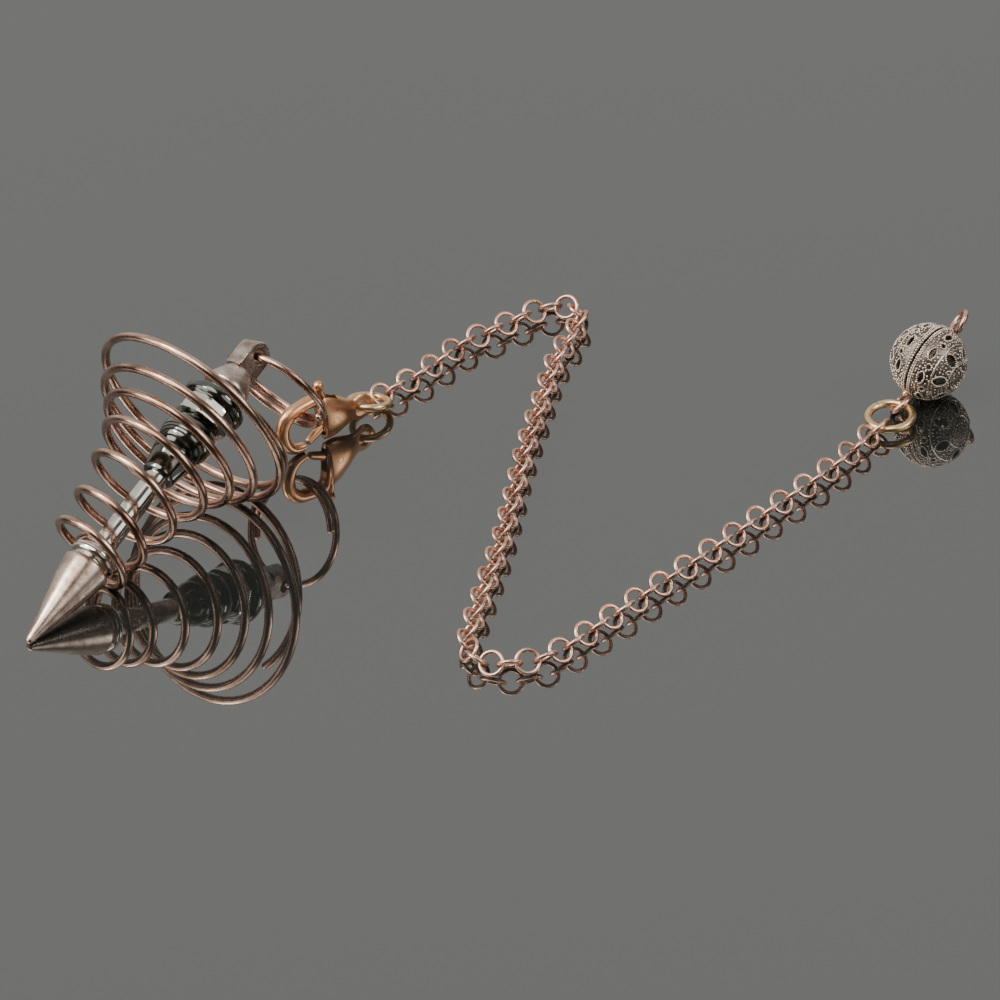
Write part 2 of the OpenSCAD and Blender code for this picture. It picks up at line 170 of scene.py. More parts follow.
CLASP_RING_R = (CLASP_RING_D - RING_WIRE_D) / 2
CLASP_RING_LEAN = math.degrees(math.asin((EYE[1] - RING_REST_Z) / (2 * CLASP_RING_R)))
EYE_AT = ON_EDGE @ Vector((EYE[0], EYE[1], 0))
CLASP_RING_AT = EYE_AT + CLASP_RING_R * Vector((cos(CLASP_RING_LEAN) * cos(CLASP_RING_HEADING),
                                                cos(CLASP_RING_LEAN) * sin(CLASP_RING_HEADING),
                                                -sin(CLASP_RING_LEAN)))
CLASP_RING_PLACE = (Matrix.Translation(CLASP_RING_AT) @ turn_matrix(CLASP_RING_HEADING, "Z")
                    @ turn_matrix(CLASP_RING_LEAN, "Y"))
END_RING_R = (END_RING_D - RING_WIRE_D) / 2
NEAR_EYE_AT = ON_BALL @ Vector((0, 0, -EYE_REACH))
END_RING_AT = Vector((NEAR_EYE_AT.x - EYE_SLACK * cos(PIN_LEAN) * cos(PIN_HEADING)
                      - END_RING_R * cos(END_RING_TURN),
                      NEAR_EYE_AT.y - EYE_SLACK * cos(PIN_LEAN) * sin(PIN_HEADING)
                      - END_RING_R * sin(END_RING_TURN), END_RING_Z))
END_RING_PLACE = Matrix.Translation(END_RING_AT) @ turn_matrix(END_RING_LEAN, "X")


# Mesh building

class Shape:
    """Points and faces in millimetres, gathered from several sweeps, lofts and balls."""

    def __init__(self):
        self.points = []
        self.faces = []

    def rings(self, rings, closed=False, caps=True):
        """Skins a list of rings of equally many points; closed joins the last ring to the first."""
        base = len(self.points)
        sides = len(rings[0])
        count = len(rings)
        for ring in rings:
            self.points.extend(ring)
        for i in range(count if closed else count - 1):
            for k in range(sides):
                a = base + i * sides
                b = base + (i + 1) % count * sides
                k2 = (k + 1) % sides
                self.faces.append((a + k, a + k2, b + k2, b + k))
        if caps and not closed:
            self.faces.append(tuple(base + k for k in reversed(range(sides))))
            self.faces.append(tuple(base + (count - 1) * sides + k for k in range(sides)))

    def wire(self, path, radius, sides=12, closed=False, round_ends=False):
        """Sweeps a circle along a path, carrying its frame from point to point."""
        path = [Vector(p) for p in path]
        count = len(path)
        rings = []
        side = None
        for i, p in enumerate(path):
            ahead = path[(i + 1) % count] if closed or i < count - 1 else p
            behind = path[i - 1] if closed or i > 0 else p
            along = (ahead - behind).normalized()
            if side is None:
                side = along.orthogonal().normalized()
            side = (side - along * side.dot(along)).normalized()
            up = along.cross(side)
            rings.append((p, along, side, up, radius))
        if closed:
            first = rings[0]
            last = rings[-1]
            slip = math.atan2(last[2].dot(first[3]), last[2].dot(first[2]))
            rings = [(p, along, side * math.cos(-slip * i / count) + up * math.sin(-slip * i / count),
                      up * math.cos(-slip * i / count) - side * math.sin(-slip * i / count), r)
                     for i, (p, along, side, up, r) in enumerate(rings)]
        if round_ends:
            start, end = rings[0], rings[-1]
            dome = [(0.35, 0.94), (0.7, 0.71), (0.95, 0.3)]
            rings = ([(start[0] - start[1] * radius * reach, *start[1:4], radius * share)
                      for reach, share in reversed(dome)] + rings
                     + [(end[0] + end[1] * radius * reach, *end[1:4], radius * share)
                        for reach, share in dome])
        self.rings([[p + r * (math.cos(math.tau * k / sides) * side + math.sin(math.tau * k / sides) * up)
                     for k in range(sides)] for p, along, side, up, r in rings], closed)

    def ball(self, centre, radius, rows=8, sides=12):
        centre = Vector(centre)
        rings = []
        for i in range(rows + 1):
            polar = 180 * (i + 0.1) / (rows + 0.2)
            rings.append([centre + radius * Vector((sin(polar) * cos(360 * k / sides),
                                                    sin(polar) * sin(360 * k / sides), -cos(polar)))
                          for k in range(sides)])
        self.rings(rings)

    def lathe(self, profile, sides=96):
        """Turns a closed outline of (radius, height) round the Z axis."""
        self.rings([[Vector((r * cos(360 * k / sides), r * sin(360 * k / sides), z)) for r, z in profile]
                    for k in range(sides)], closed=True)

    def moved(self, matrix, first=0):
        self.points[first:] = [matrix @ Vector(p) for p in self.points[first:]]


def make(name, shape, place=Matrix.Identity(4), sharp=32):
    """The mesh object of a shape at its place, in metres, with edges above an angle left sharp."""
    mesh = bpy.data.meshes.new(name)
    mesh.from_pydata([tuple((place @ Vector(p)) * MM) for p in shape.points], [], shape.faces)
    edit = bmesh.new()
    edit.from_mesh(mesh)
    bmesh.ops.remove_doubles(edit, verts=edit.verts, dist=1e-7)
    bmesh.ops.recalc_face_normals(edit, faces=edit.faces)
    edit.to_mesh(mesh)
    edit.free()
    piece = bpy.data.objects.new(name, mesh)
    bpy.context.scene.collection.objects.link(piece)
    shade(mesh, sharp)
    return piece


def shade(mesh, sharp):
    for face in mesh.polygons:
        face.use_smooth = True
    mesh.set_sharp_from_angle(angle=rad(sharp))


def dress(piece, material, slot, body, *nodes):
    piece.data.materials.clear()
    piece.data.materials.append(material)
    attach(piece, body)
    if nodes:
        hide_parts(*nodes)


def cut(piece, *tools):
    """Takes the tools' shapes out of a piece."""
    for tool in tools:
        modifier = piece.modifiers.new("cut", "BOOLEAN")
        modifier.object = tool
        modifier.solver = "EXACT"
        modifier.use_self = True
    bpy.context.view_layer.update()
    seen = piece.evaluated_get(bpy.context.evaluated_depsgraph_get())
    mesh = bpy.data.meshes.new_from_object(seen)
    piece.modifiers.clear()
    piece.data = mesh
    for tool in tools:
        bpy.data.objects.remove(tool)
    return mesh


# Materials

class Nodes:
    """A node material, with a short way to add nodes and links."""

    def __init__(self, name):
        self.material = bpy.data.materials.new(name)
        self.material.use_nodes = True
        self.tree = self.material.node_tree
        self.shader = self.tree.nodes["Principled BSDF"]

    def add(self, kind, inputs=None, **settings):
        node = self.tree.nodes.new(kind)
        for key, value in settings.items():
            setattr(node, key, value)
        for key, value in (inputs or {}).items():
            if isinstance(value, bpy.types.NodeSocket):
                self.tree.links.new(value, node.inputs[key])
            else:
                node.inputs[key].default_value = value
        return node

    def noise(self, scale, detail=4, roughness=0.55):
        coordinates = self.add("ShaderNodeTexCoord").outputs["Object"]
        return self.add("ShaderNodeTexNoise", {"Vector": coordinates, "Scale": scale, "Detail": detail,
                                               "Roughness": roughness}).outputs["Fac"]

    def spread(self, value, low, high, out_low=0.0, out_high=1.0):
        return self.add("ShaderNodeMapRange", {"Value": value, "From Min": low, "From Max": high,
                                               "To Min": out_low, "To Max": out_high}).outputs["Result"]

    def mixed(self, share, a, b):
        node = self.add("ShaderNodeMix", data_type="RGBA")
        for socket, value in ((node.inputs[0], share), (node.inputs[6], a), (node.inputs[7], b)):
            if isinstance(value, bpy.types.NodeSocket):
                self.tree.links.new(value, socket)
            else:
                socket.default_value = value
        return node.outputs[2]


def colour(r, g, b):
    return (r, g, b, 1)


def metal(name, bright, dull, rough, grain, patina, patina_from, pits, grit=0.25, painted_shade_reach=None):
    """Worn metal: a bright and a dull tone in soft patches, fine darker grit, and painted shade in its
    recesses, where ambient occlusion darkens the colour.

    grain and patina are the scales of the grit and the patches, patina_from is the level where
    the dull tone starts, rough the range of roughness, and pits and the reach of the painted shade are depths
    in millimetres.
    """
    m = Nodes(name)
    patches = m.spread(m.noise(patina, detail=5), patina_from - 0.12, patina_from + 0.14)
    tone = m.mixed(patches, colour(*bright), colour(*dull))
    fine = m.noise(grain, detail=6, roughness=0.7)
    tone = m.mixed(m.spread(fine, 0.35, 0.75, 0, grit), tone, colour(*(0.5 * part for part in dull)))
    # Painted shade: the colour darkens nearly to black in recesses that ambient occlusion finds
    if painted_shade_reach:
        shade_in = m.add("ShaderNodeAmbientOcclusion", {"Distance": painted_shade_reach * MM}, samples=6).outputs["AO"]
        tone = m.mixed(m.spread(shade_in, 0.25, 0.85, 0.9, 0), tone, colour(*(0.16 * part for part in dull)))
    m.tree.links.new(tone, m.shader.inputs["Base Color"])
    m.shader.inputs["Metallic"].default_value = 1.0
    gloss = m.spread(fine, 0.3, 0.7, rough[0], rough[1])
    m.tree.links.new(gloss, m.shader.inputs["Roughness"])
    bump = m.add("ShaderNodeBump", {"Strength": 0.6, "Distance": pits * MM, "Height": fine}).outputs["Normal"]
    m.tree.links.new(bump, m.shader.inputs["Normal"])
    return m.material


TIP_METAL = metal("tip_metal", bright=(0.84, 0.66, 0.55), dull=(0.4, 0.26, 0.2), rough=(0.2, 0.38),
                  grain=1300, patina=420, patina_from=0.54, pits=0.02, grit=0.45)
SILVER = metal("rod_silver", bright=(0.88, 0.85, 0.78), dull=(0.5, 0.47, 0.41), rough=(0.07, 0.2),
               grain=500, patina=300, patina_from=0.6, pits=0.005)
DARK = metal("dark_polish", bright=(0.25, 0.265, 0.24), dull=(0.12, 0.125, 0.11), rough=(0.04, 0.13),
             grain=500, patina=150, patina_from=0.5, pits=0.004)
# The head's metal is darkened by painted shade in its recesses
HEAD_METAL = metal("head_metal", bright=(0.78, 0.67, 0.59), dull=(0.36, 0.25, 0.2), rough=(0.2, 0.4),
                   grain=1500, patina=600, patina_from=0.55, pits=0.05, grit=0.5, painted_shade_reach=0.6)
COIL_COPPER = metal("coil_copper", bright=(0.85, 0.56, 0.43), dull=(0.3, 0.165, 0.115), rough=(0.15, 0.27),
                    grain=900, patina=170, patina_from=0.54, pits=0.008, grit=0.35)
CHAIN_COPPER = metal("chain_copper", bright=(0.9, 0.57, 0.44), dull=(0.5, 0.27, 0.2), rough=(0.22, 0.36),
                     grain=1400, patina=300, patina_from=0.56, pits=0.008, grit=0.2)
# The clasp's bronze is darkened by painted shade in its recesses
BRONZE = metal("clasp_bronze", bright=(0.89, 0.5, 0.28), dull=(0.76, 0.38, 0.2), rough=(0.26, 0.36),
               grain=1200, patina=220, patina_from=0.58, pits=0.003, grit=0.1, painted_shade_reach=0.2)
GOLD = metal("ring_gold", bright=(0.9, 0.64, 0.36), dull=(0.7, 0.46, 0.24), rough=(0.24, 0.34),
             grain=900, patina=260, patina_from=0.58, pits=0.004, grit=0.1)
OLD_SILVER = metal("ball_silver", bright=(0.88, 0.77, 0.67), dull=(0.4, 0.32, 0.26), rough=(0.14, 0.3),
                   grain=1500, patina=700, patina_from=0.56, pits=0.02, grit=0.3)
TARNISH = metal("ball_tarnish", bright=(0.3, 0.25, 0.21), dull=(0.12, 0.1, 0.08), rough=(0.3, 0.5),
                grain=2400, patina=900, patina_from=0.5, pits=0.1, grit=0.4)


# The pendulum

def turned(name, profile, material, slot, node):
    shape = Shape()
    shape.lathe(profile)
    piece = make(name, shape, LAID)
    dress(piece, material, slot, ROOT_BODY, node)


def tip():
    r = TIP_D / 2
    cone = [(0.0, 0.0), (0.26, 0.04), (0.44, 0.2), (0.52, 0.42), (r * 0.42, TIP_LEN * 0.31),
            (r * 0.72, TIP_LEN * 0.6), (r * 0.93, TIP_LEN * 0.85), (r * 0.99, TIP_LEN * 0.935)]
    shoulder = [(r, TIP_LEN * 0.955), (r * 0.985, TIP_LEN * 0.975), (r * 0.93, TIP_LEN * 0.993),
                (r * 0.86, TIP_LEN)]
    bore = [(BORE_R, TIP_LEN), (BORE_R, ROD_LOW - 0.3), (0.0, ROD_LOW - 0.3)]
    turned("tip_cone", cone + shoulder + bore, TIP_METAL, "tip_metal", "tip")


def collar():
    r = TIP_D / 2
    rows = [(BORE_R, 0), (r * 0.8, 0), (r * 0.8, 0.48), (r * 0.84, 0.53), (r * 0.92, 0.6), (r * 0.975, 0.85),
            (r * 0.98, 1.15), (r * 0.96, 1.5), (r * 0.9, 1.75), (r * 0.82, 1.9), (r * 0.68, 1.98),
            (r * 0.66, 2.05), (r * 0.64, COLLAR_T), (BORE_R, COLLAR_T)]
    turned("collar_ring", [(a, COLLAR_Z + z) for a, z in rows], SILVER, "rod_metal", "collar")


def bead_cap():
    top = BEAD_Z - BEAD_HALF - GAP - CAP_Z
    rows = [(BORE_R, 0), (1.95, 0), (2.12, 0.08), (2.2, 0.25), (2.24, top * 0.15), (2.35, top * 0.3),
            (2.53, top * 0.5), (2.75, top * 0.7), (2.87, top * 0.84), (2.9, top * 0.93), (2.84, top * 0.98),
            (2.7, top), (BORE_R, top)]
    turned("bead_cap_cone", [(a, CAP_Z + z) for a, z in rows], DARK, "dark_metal", "bead_cap")


def large_bead():
    steps = 28
    half_turn = math.degrees(math.asin(2 * BEAD_HALF / BEAD_D))
    rows = [(BEAD_D / 2 * cos(a), BEAD_D / 2 * sin(a))
            for a in (half_turn * (2 * i / steps - 1) for i in range(steps + 1))]
    outline = [(BORE_R, -BEAD_HALF)] + rows + [(BORE_R, BEAD_HALF)]
    turned("large_bead_ball", [(a, BEAD_Z + z) for a, z in outline], DARK, "dark_metal", "large_bead")


def disc():
    r = DISC_D / 2
    edge = [(r * 0.85, 0), (r * 0.93, 0.07), (r * 0.975, 0.26), (r, 0.55), (r, DISC_T - 0.55),
            (r * 0.975, DISC_T - 0.26), (r * 0.93, DISC_T - 0.07), (r * 0.85, DISC_T)]
    turned("disc_rim", [(a, DISC_Z + z) for a, z in [(BORE_R, 0)] + edge + [(BORE_R, DISC_T)]],
           DARK, "dark_metal", "disc")


def facet_bead():
    """Eight flat sides cut on a ball, so that each facet ends in an arc."""
    per_side = 8
    sides = 8 * per_side
    flat = FACET_D / 2 * cos(22.5)
    sphere_r = FACET_D * 1.02 / 2
    rows = 20
    shape = Shape()
    rings = []
    for k in range(sides):
        turn = 360 * k / sides
        reach = flat / cos((turn % 45) - 22.5)
        outline = [(BORE_R, 0)]
        for i in range(rows + 1):
            z = FACET_T * i / rows
            outline.append((min(reach, math.sqrt(sphere_r ** 2 - (z - FACET_T / 2) ** 2)), z))
        outline.append((BORE_R, FACET_T))
        rings.append([Vector((a * cos(turn + 22.5), a * sin(turn + 22.5), FACET_Z + z)) for a, z in outline])
    shape.rings(rings, closed=True)
    piece = make("facet_bead_cut", shape, LAID, sharp=12)
    dress(piece, SILVER, "rod_metal", ROOT_BODY, "facet_bead")


def head():
    """The bell on its neck, and the flat tab whose hole takes the large ring."""
    bell = [(BORE_R, NECK_Z), (2.02, NECK_Z), (2.1, NECK_Z + 0.08), (2.1, BELL_Z), (2.9, BELL_Z),
            (3.06, BELL_Z + 0.06), (3.15, BELL_Z + 0.22), (3.14, BELL_Z + 0.42), (3.08, BELL_Z + 0.65),
            (2.85, BELL_Z + 1.15), (2.6, BELL_Z + 1.7), (2.3, BELL_Z + 2.25), (2.02, BELL_Z + 2.8),
            (1.85, BELL_Z + 3.2), (1.7, BELL_Z + 3.4), (0, BELL_Z + 3.4), (0, BELL_Z + 1.2),
            (BORE_R, BELL_Z + 1.2)]
    shape = Shape()
    shape.lathe(bell)
    first = len(shape.points)
    bevel = 0.16
    half = TAB_W / 2
    rings = []
    steps = 96
    for k in range(steps):
        turn = 360 * k / steps
        across, up = cos(turn), sin(turn)
        reach = half if up >= 0 else min(half / max(abs(across), 1e-6), (HOLE_Z - TAB_Z) / max(-up, 1e-6))
        hole = HOLE_D / 2
        section = [(hole, -TAB_T / 2 + bevel), (hole + bevel, -TAB_T / 2), (reach - bevel, -TAB_T / 2),
                   (reach, -TAB_T / 2 + bevel), (reach, TAB_T / 2 - bevel), (reach - bevel, TAB_T / 2),
                   (hole + bevel, TAB_T / 2), (hole, TAB_T / 2 - bevel)]
        rings.append([Vector((x, a * across, HOLE_Z + a * up)) for a, x in section])
    shape.rings(rings, closed=True)
    shape.moved(turn_matrix(HEAD_TURN, "Z"), first)
    piece = make("head_bell", shape, LAID, sharp=40)
    dress(piece, HEAD_METAL, "head_metal", ROOT_BODY, "head")


def coil():
    steps = int((TURN_END - TURN_START) * 48)
    shape = Shape()
    shape.wire([coil_point(TURN_START + (TURN_END - TURN_START) * i / steps) for i in range(steps + 1)],
               COIL_WIRE_D / 2, 16, round_ends=True)
    piece = make("coil_wire", shape, LAID, sharp=60)
    dress(piece, COIL_COPPER, "coil_copper", ROOT_BODY, "coil")


def jump_ring():
    """The large ring, whose wire goes round one and a half times between the head's hole and the hook."""
    hole_at = LAID @ Vector((0, 0, HOLE_Z))
    hole_axis = (LAID @ Vector((cos(HEAD_TURN), sin(HEAD_TURN), HOLE_Z))) - hole_at
    seat_at = ON_EDGE @ Vector((HOOK_SEAT[0], HOOK_SEAT[1], 0))
    toward = (Vector((sin(CLASP_TURN), -cos(CLASP_TURN), 0)) - hole_axis).normalized()
    r = (hole_at - seat_at).length / 2
    axis = (hole_at - seat_at).normalized()
    across = axis.cross(toward).normalized()
    side = across.cross(axis)
    middle = (hole_at + seat_at) / 2
    start, finish, steps, crossing = -245, 298, 260, 60
    apart = (JUMP_WIRE_D + 0.12) / 2
    path = []
    for i in range(steps + 1):
        turn = start + (finish - start) * i / steps
        slip = apart * sin(90 * min(max(turn / crossing, -1), 1))
        path.append(middle + r * (cos(turn) * axis + sin(turn) * side) + slip * across)
    shape = Shape()
    shape.wire(path, JUMP_WIRE_D / 2, 16, round_ends=True)
    piece = make("jump_ring_wire", shape, sharp=60)
    dress(piece, COIL_COPPER, "coil_copper", ROOT_BODY, "jump_ring")


# The clasp: sections of its body and hook, from the eye to the hook's tip, as
# distance along, height, half height, half thickness and heading
CLASP_LINE = [(12.3, 2.3, 0.5, 0.3, 180), (11.95, 2.3, 1.1, 0.42, 180), (11.3, 2.3, 1.65, 0.48, 180),
              (10.4, 2.32, 1.85, 0.5, 180), (9.5, 2.45, 1.6, 0.6, 180), (8.6, 2.7, 1.75, 0.85, 180),
              (7.4, 3, 2.35, 1.17, 180), (6, 3.3, 3.05, 1.3, 180), (4.7, 3.6, 3.3, 1.24, 180),
              (4.3, 3.75, 3.1, 1, 180), (3.85, 5.8, 1.5, 0.97, 180), (3.2, 6.5, 0.87, 0.95, 180),
              (1.2, 6.45, 0.85, 0.9, 184), (-0.55, 6, 0.95, 0.9, 217), (-1.65, 4.75, 0.93, 0.88, 254),
              (-1.75, 3, 0.88, 0.85, 284), (-1, 1.5, 0.78, 0.78, 312), (0.05, 0.85, 0.68, 0.7, 339),
              (1.15, 0.7, 0.58, 0.6, 358)]
CLASP_SLOT = [(3, 0.9), (4.6, 1.1), (6.2, 1.9), (6.75, 3.1), (6.85, 8.5), (3.6, 8.5), (4.85, 4.3), (3, 4.3)]


def loft(shape, line, sides=36, dome=0.0):
    """Skins elliptical sections; dome rounds the far end by that length."""
    rows = [tuple(row) for row in line]
    if dome:
        d, h, high, thick, heading = rows[-1]
        for reach, share in ((0.4, 0.92), (0.75, 0.66), (0.97, 0.25)):
            rows.append((d + dome * reach * cos(heading), h + dome * reach * sin(heading), high * share,
                         thick * share, heading))
    rings = []
    for d, h, high, thick, heading in rows:
        ring = []
        for k in range(sides):
            turn = 360 * (k + 0.5) / sides
            w = high * cos(turn)
            ring.append(Vector((d - sin(heading) * w, h + cos(heading) * w, thick * sin(turn))))
        rings.append(ring)
    shape.rings(rings)


def plate(name, outline, thickness):
    shape = Shape()
    shape.rings([[Vector((x, y, z)) for x, y in outline] for z in (-thickness / 2, thickness / 2)])
    return make(name, shape, ON_EDGE)


def drill(name, at, radius):
    sides = 48
    step = 360 / sides
    circle = [(at[0] + radius * cos(step * k), at[1] + radius * sin(step * k)) for k in range(sides)]
    return plate(name, circle, 3 * CLASP_T)


def clasp_body():
    shape = Shape()
    loft(shape, [row_between(CLASP_LINE, i / 5) for i in range((len(CLASP_LINE) - 1) * 5 + 1)])
    piece = make("clasp_shell", shape, ON_EDGE, sharp=50)
    mesh = cut(piece, plate("slot_tool", CLASP_SLOT, SLOT_T), drill("eye_tool", EYE, EYE_BORE_R),
               drill("pin_tool", PIVOT, LEVER_PIN_D / 2 + GAP))
    shade(mesh, 38)
    edge = piece.modifiers.new("soft_edges", "BEVEL")
    edge.width = 0.09 * MM
    edge.segments = 2
    edge.limit_method = "ANGLE"
    edge.angle_limit = rad(50)
    dress(piece, BRONZE, "clasp_bronze", ROOT_BODY, "clasp_body")


def row_between(rows, u):
    """A section between two others, on a smooth curve through all of them."""
    last = len(rows) - 1
    i = min(int(u), last - 1)
    t = u - i
    a, b, c, d = (rows[min(max(k, 0), last)] for k in (i - 1, i, i + 1, i + 2))
    return tuple(q + t * (r - p) / 2 + t * t * (2 * p - 5 * q + 4 * r - s) / 2
                 + t ** 3 * (3 * q - p - 3 * r + s) / 2 for p, q, r, s in zip(a, b, c, d))


def clasp_lever():
    """The gate and the stem with its nub, in one piece on the clasp's pin."""
    gate = [(6.1, 3.2, 0.72, 0.5, 207), (5.2, 2.65, 0.72, 0.5, 207), (4, 2.05, 0.66, 0.5, 207),
            (2.8, 1.45, 0.58, 0.49, 207), (1.95, 1.03, 0.5, 0.45, 207)]
    stem = [(5.9, 2.5, 0.72, 0.5, 103), (5.65, 3.6, 0.66, 0.5, 103), (5.2, 5.2, 0.56, 0.5, 105),
            (4.75, 6.8, 0.46, 0.47, 106), (4.52, 7.6, 0.46, 0.48, 106), (4.42, 8.0, 0.66, 0.64, 106),
            (4.36, 8.3, 0.7, 0.7, 106)]
    shape = Shape()
    for line, dome in ((gate, 0.3), (stem, 0.6)):
        loft(shape, [row_between(line, i / 5) for i in range((len(line) - 1) * 5 + 1)], 28, dome)
    piece = make("lever_gate", shape, ON_EDGE, sharp=60)
    mesh = cut(piece, drill("lever_tool", PIVOT, LEVER_PIN_D / 2 + GAP))
    shade(mesh, 45)
    dress(piece, BRONZE, "clasp_bronze", LEVER_BODY, "clasp_lever")


def cut_ring(name, r, place, open_at, node):
    """A ring of round wire with the fine seam where its ends meet."""
    seam = 1.2
    steps = 96
    path = [Vector((r * cos(a), r * sin(a), 0))
            for a in (open_at + seam + (360 - 2 * seam) * i / steps for i in range(steps + 1))]
    shape = Shape()
    shape.wire(path, RING_WIRE_D / 2, 18)
    piece = make(name, shape, place, sharp=60)
    dress(piece, GOLD, "ring_gold", ROOT_BODY, node)


# The chain

ROUTE_MIDDLE = [(-12.6, 26.4), (-8.2, 30), (-3, 36), (1.5, 39), (6, 42), (9, 43.2), (11.6, 42.6),
                (12.6, 40), (11.2, 35.5), (8.8, 30), (6.2, 19.5), (3.6, 8.7), (1.6, -1.7), (-0.5, -12),
                (-2.8, -21), (-4.9, -29.7), (-5.6, -34), (-3.6, -37.6), (0.4, -38.3), (4.8, -37),
                (10.5, -31.7), (17.5, -25), (25, -17.8), (34, -8.9), (41.9, -1)]


def chain_route():
    start = CLASP_RING_AT + (CLASP_RING_R - CLASP_RING_HOLD) * cos(CLASP_RING_LEAN) * Vector(
        (cos(CLASP_RING_HEADING), sin(CLASP_RING_HEADING), 0))
    end = END_RING_AT + (END_RING_R - END_RING_HOLD) * Vector((cos(END_LINK_TURN), sin(END_LINK_TURN), 0))
    middle = [(x - ORIGIN[0], y - ORIGIN[1]) for x, y in ROUTE_MIDDLE]
    return resampled([(start.x, start.y)] + middle + [(end.x, end.y)], ROUTE_STEPS)


def chain():
    route = chain_route()
    runs = [0.0]
    for a, b in zip(route, route[1:]):
        runs.append(runs[-1] + (b - a).length)
    links = round(runs[-1] / LINK_PITCH)

    def at(run):
        i = max(k for k, passed in enumerate(runs[:-1]) if passed <= run + 1e-9)
        return route[i] + (route[i + 1] - route[i]) * (run - runs[i]) / (runs[i + 1] - runs[i])

    link_r = (LINK_D - LINK_WIRE_D) / 2
    link_z = link_r * sin(LINK_ROLL) + LINK_WIRE_D / 2
    step = runs[-1] / links
    shape = Shape()
    for i in range(links):
        start, end = at(i * step), at(min((i + 1) * step, runs[-1]))
        middle = (start + end) / 2
        heading = math.degrees(math.atan2(end.y - start.y, end.x - start.x))
        roll = LINK_ROLL if i % 2 == 0 else -LINK_ROLL
        seam = random.uniform(0, 360)
        first = len(shape.points)
        arc = 356.5
        shape.wire([Vector((link_r * cos(seam + a), link_r * sin(seam + a), 0))
                    for a in (arc * k / 36 for k in range(37))], LINK_WIRE_D / 2, 10, round_ends=True)
        shape.moved(Matrix.Translation((middle.x, middle.y, link_z)) @ turn_matrix(heading, "Z")
                    @ turn_matrix(roll, "X"), first)
    piece = make("chain_links", shape, sharp=60)
    dress(piece, CHAIN_COPPER, "chain_copper", ROOT_BODY, "chain")


# The ball

def eye_pin():
    """The wire through the ball, bent round into an eye at each end."""
    shape = Shape()
    for end in (-1, 1):
        loop = []
        for i in range(61):
            turn = 372 * i / 60
            slip = -(PIN_WIRE_D + 0.03) * min(1, max(0, (turn - 150) / 170)) ** 1.3
            loop.append(Vector((EYE_LOOP_R * sin(turn), slip, end * (EYE_REACH - EYE_LOOP_R * cos(turn)))))
        shape.wire([Vector((0, 0, 0)), Vector((0, 0, end * (EYE_REACH - EYE_LOOP_R - 0.25)))] + loop,
                   PIN_WIRE_D / 2, 14, round_ends=True)
    piece = make("eye_pin_wire", shape, ON_BALL, sharp=60)
    dress(piece, CHAIN_COPPER, "chain_copper", ROOT_BODY, "eye_pin")


# Piercings on each half, in rows: how many, middle of the row in degrees from the pole,
# half length along the meridian and half width across it in degrees, and the share of a
# step by which the row is turned
PIERCINGS = [(8, 69, 4.2, 10, 0.0), (8, 63.5, 3.6, 3.6, 0.5), (6, 39, 11, 7.5, 0.25)]
LEAF_POWER, LOOP_POWER, LOOP_ROOM = 1.7, 1.18, 1.3
SHELL_R, SHELL_T, SHELL_EDGE = 4.76, 0.34, 88.4
GRAIN_R, GRAIN_STEP, GRAIN_END = 0.19, 5.4, 81
# Beaded rims beside the seam, as degrees from the pole and granule radius, and rings of plain wire
RIMS = ((83.4, 0.14), (86.6, 0.2))
WIRE_RINGS, RING_R = (25.5, 53.8), 0.13


def on_sphere(r, side, polar, turn):
    return Vector((side * r * cos(polar), r * sin(polar) * cos(turn), r * sin(polar) * sin(turn)))


def pierced(polar, turn, room=1.0):
    """Whether a place on the shell lies in one of the leaf-shaped or round holes, widened by a factor."""
    for count, middle, half, width, shift in PIERCINGS:
        step = 360 / count
        off = (turn - shift * step + step / 2) % step - step / 2
        up, over = (polar - middle) / (half * room), off * sin(polar) / (width * room)
        if abs(up) ** LEAF_POWER + abs(over) ** LEAF_POWER < 1:
            return True
    return False


def around(r, side, polar):
    """A circle on a sphere round its pole."""
    return [on_sphere(r, side, polar, 5 * k) for k in range(72)]


def ball_shell():
    """Two thin half shells with the piercings left open."""
    shape = Shape()
    rows, sides = 60, 216
    for side in (-1, 1):
        base = len(shape.points)
        shape.points.extend(on_sphere(SHELL_R, side, SHELL_EDGE * max(i, 0.02) / rows, 360 * k / sides)
                            for i in range(rows + 1) for k in range(sides))
        for i in range(rows):
            for k in range(sides):
                if not pierced(SHELL_EDGE * (i + 0.5) / rows, 360 * (k + 0.5) / sides):
                    a, b = base + i * sides, base + (i + 1) * sides
                    k2 = (k + 1) % sides
                    shape.faces.append((a + k, a + k2, b + k2, b + k))
    piece = make("ball_shell", shape, ON_SEAM, sharp=60)
    wall = piece.modifiers.new("wall", "SOLIDIFY")
    wall.thickness = SHELL_T * MM
    wall.offset = -1
    dress(piece, TARNISH, "ball_silver", ROOT_BODY, "filigree_ball")


def beaded(shape, path, radius):
    """Rows of granules along a closed path, at even distances."""
    length = sum((b - a).length for a, b in zip(path, path[1:] + path[:1]))
    count = max(4, round(length / (radius * 1.9)))
    runs = [0.0]
    for a, b in zip(path, path[1:] + path[:1]):
        runs.append(runs[-1] + (b - a).length)
    i = 0
    for k in range(count):
        run = length * k / count
        while runs[i + 1] < run:
            i += 1
        share = (run - runs[i]) / (runs[i + 1] - runs[i])
        a, b = path[i], path[(i + 1) % len(path)]
        shape.ball(a + (b - a) * share, radius * random.uniform(0.9, 1.1), 4, 6)


